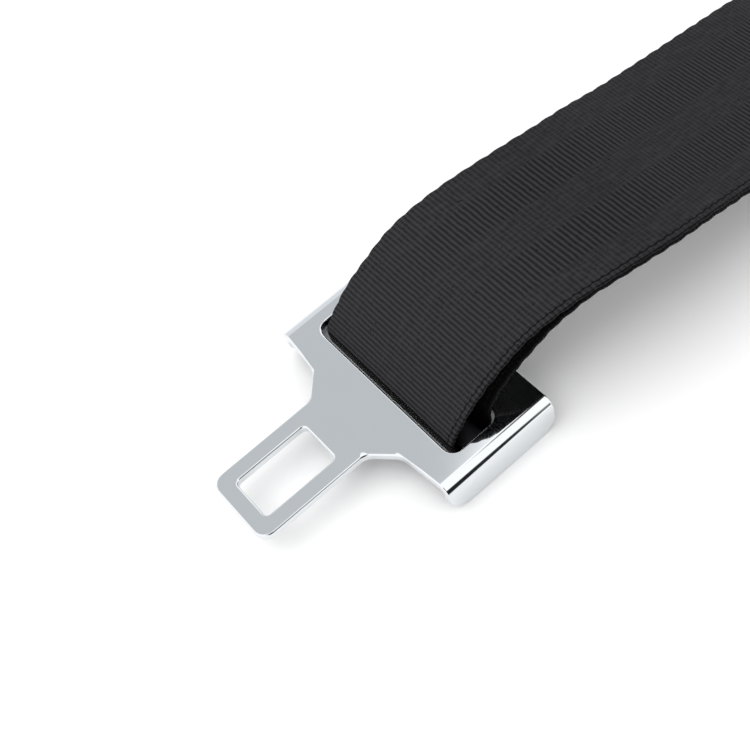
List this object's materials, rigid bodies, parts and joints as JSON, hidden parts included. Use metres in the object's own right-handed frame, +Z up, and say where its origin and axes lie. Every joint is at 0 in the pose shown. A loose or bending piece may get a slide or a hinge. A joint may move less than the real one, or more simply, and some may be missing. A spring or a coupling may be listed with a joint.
{
  "type": "seat belt extender",
  "caption": "Extender for a seat belt, with a chrome-plated tongue, a sewn loop of black webbing and a black push-button buckle",
  "frame": {"origin": "middle of the buckle's flat underside", "axes": "+X runs from the tongue's tip to the buckle's mouth, +Z is up from that surface, +Y is across the strap"},
  "size_m": [0.3559, 0.0678, 0.0401],
  "materials": {
    "chrome_plate": "bright chrome plating on pressed steel, lightly smudged",
    "bright_steel": "bare bright steel",
    "blackened_steel": "black oxide over steel",
    "zinc_plated_steel": "dull zinc plating",
    "spring_steel": "oiled spring steel",
    "polyester_webbing": "black woven polyester",
    "black_abs": "fine satin moulding",
    "red_acetal": "smooth moulding",
    "natural_acetal": "natural off-white moulding"
  },
  "bodies": {
    "strap": {"webbing_strap": "polyester_webbing", "bight_rod": "blackened_steel"},
    "tongue": {"tongue_plate": "chrome_plate"},
    "buckle": {"buckle_frame": "chrome_plate", "latch_pin": "bright_steel", "pin_clip": "bright_steel", "spring_bridge": "zinc_plated_steel", "bridge_rivet_left": "bright_steel", "bridge_rivet_right": "bright_steel", "upper_cover": "black_abs", "lower_cover": "black_abs", "cover_screw_1": "zinc_plated_steel", "cover_screw_2": "zinc_plated_steel", "cover_screw_3": "zinc_plated_steel", "cover_screw_4": "zinc_plated_steel", "ejector_spring": "spring_steel", "latch_spring": "spring_steel", "button_spring_left": "spring_steel", "button_spring_right": "spring_steel"},
    "button": {"press_button": "red_acetal"},
    "latch": {"latch": "zinc_plated_steel"},
    "ejector": {"ejector": "natural_acetal"}
  },
  "joints": [
    {"name": "tongue_swing", "type": "hinge", "parent": "strap", "child": "tongue", "pos_m": [-0.2672, 0, 0.0055], "axis": [0, 1, 0], "range_deg": [-4, 12]},
    {"name": "buckle_swing", "type": "hinge", "parent": "strap", "child": "buckle", "pos_m": [-0.05125, 0, 0.00525], "axis": [0, 1, 0], "range_deg": [-4, 4]},
    {"name": "button_press", "type": "slide", "parent": "buckle", "child": "button", "axis": [1, 0, 0], "range_m": [-0.006, 0], "stiffness_N_per_m": 900, "springref_m": 0.005, "deforming": ["button_spring_left", "button_spring_right"]},
    {"name": "latch_lift", "type": "hinge", "parent": "buckle", "child": "latch", "pos_m": [-0.02375, 0, 0.01705], "axis": [0, 1, 0], "range_deg": [-12, 0], "deforming": ["latch_spring"]},
    {"name": "ejector_slide", "type": "slide", "parent": "buckle", "child": "ejector", "axis": [1, 0, 0], "range_m": [-0.0114, 0], "stiffness_N_per_m": 250, "springref_m": 0.006, "deforming": ["ejector_spring"]}
  ],
  "couplings": [
    {"joint": "latch_lift", "follows": "button_press", "rad_per_m": 34.907}
  ]
}
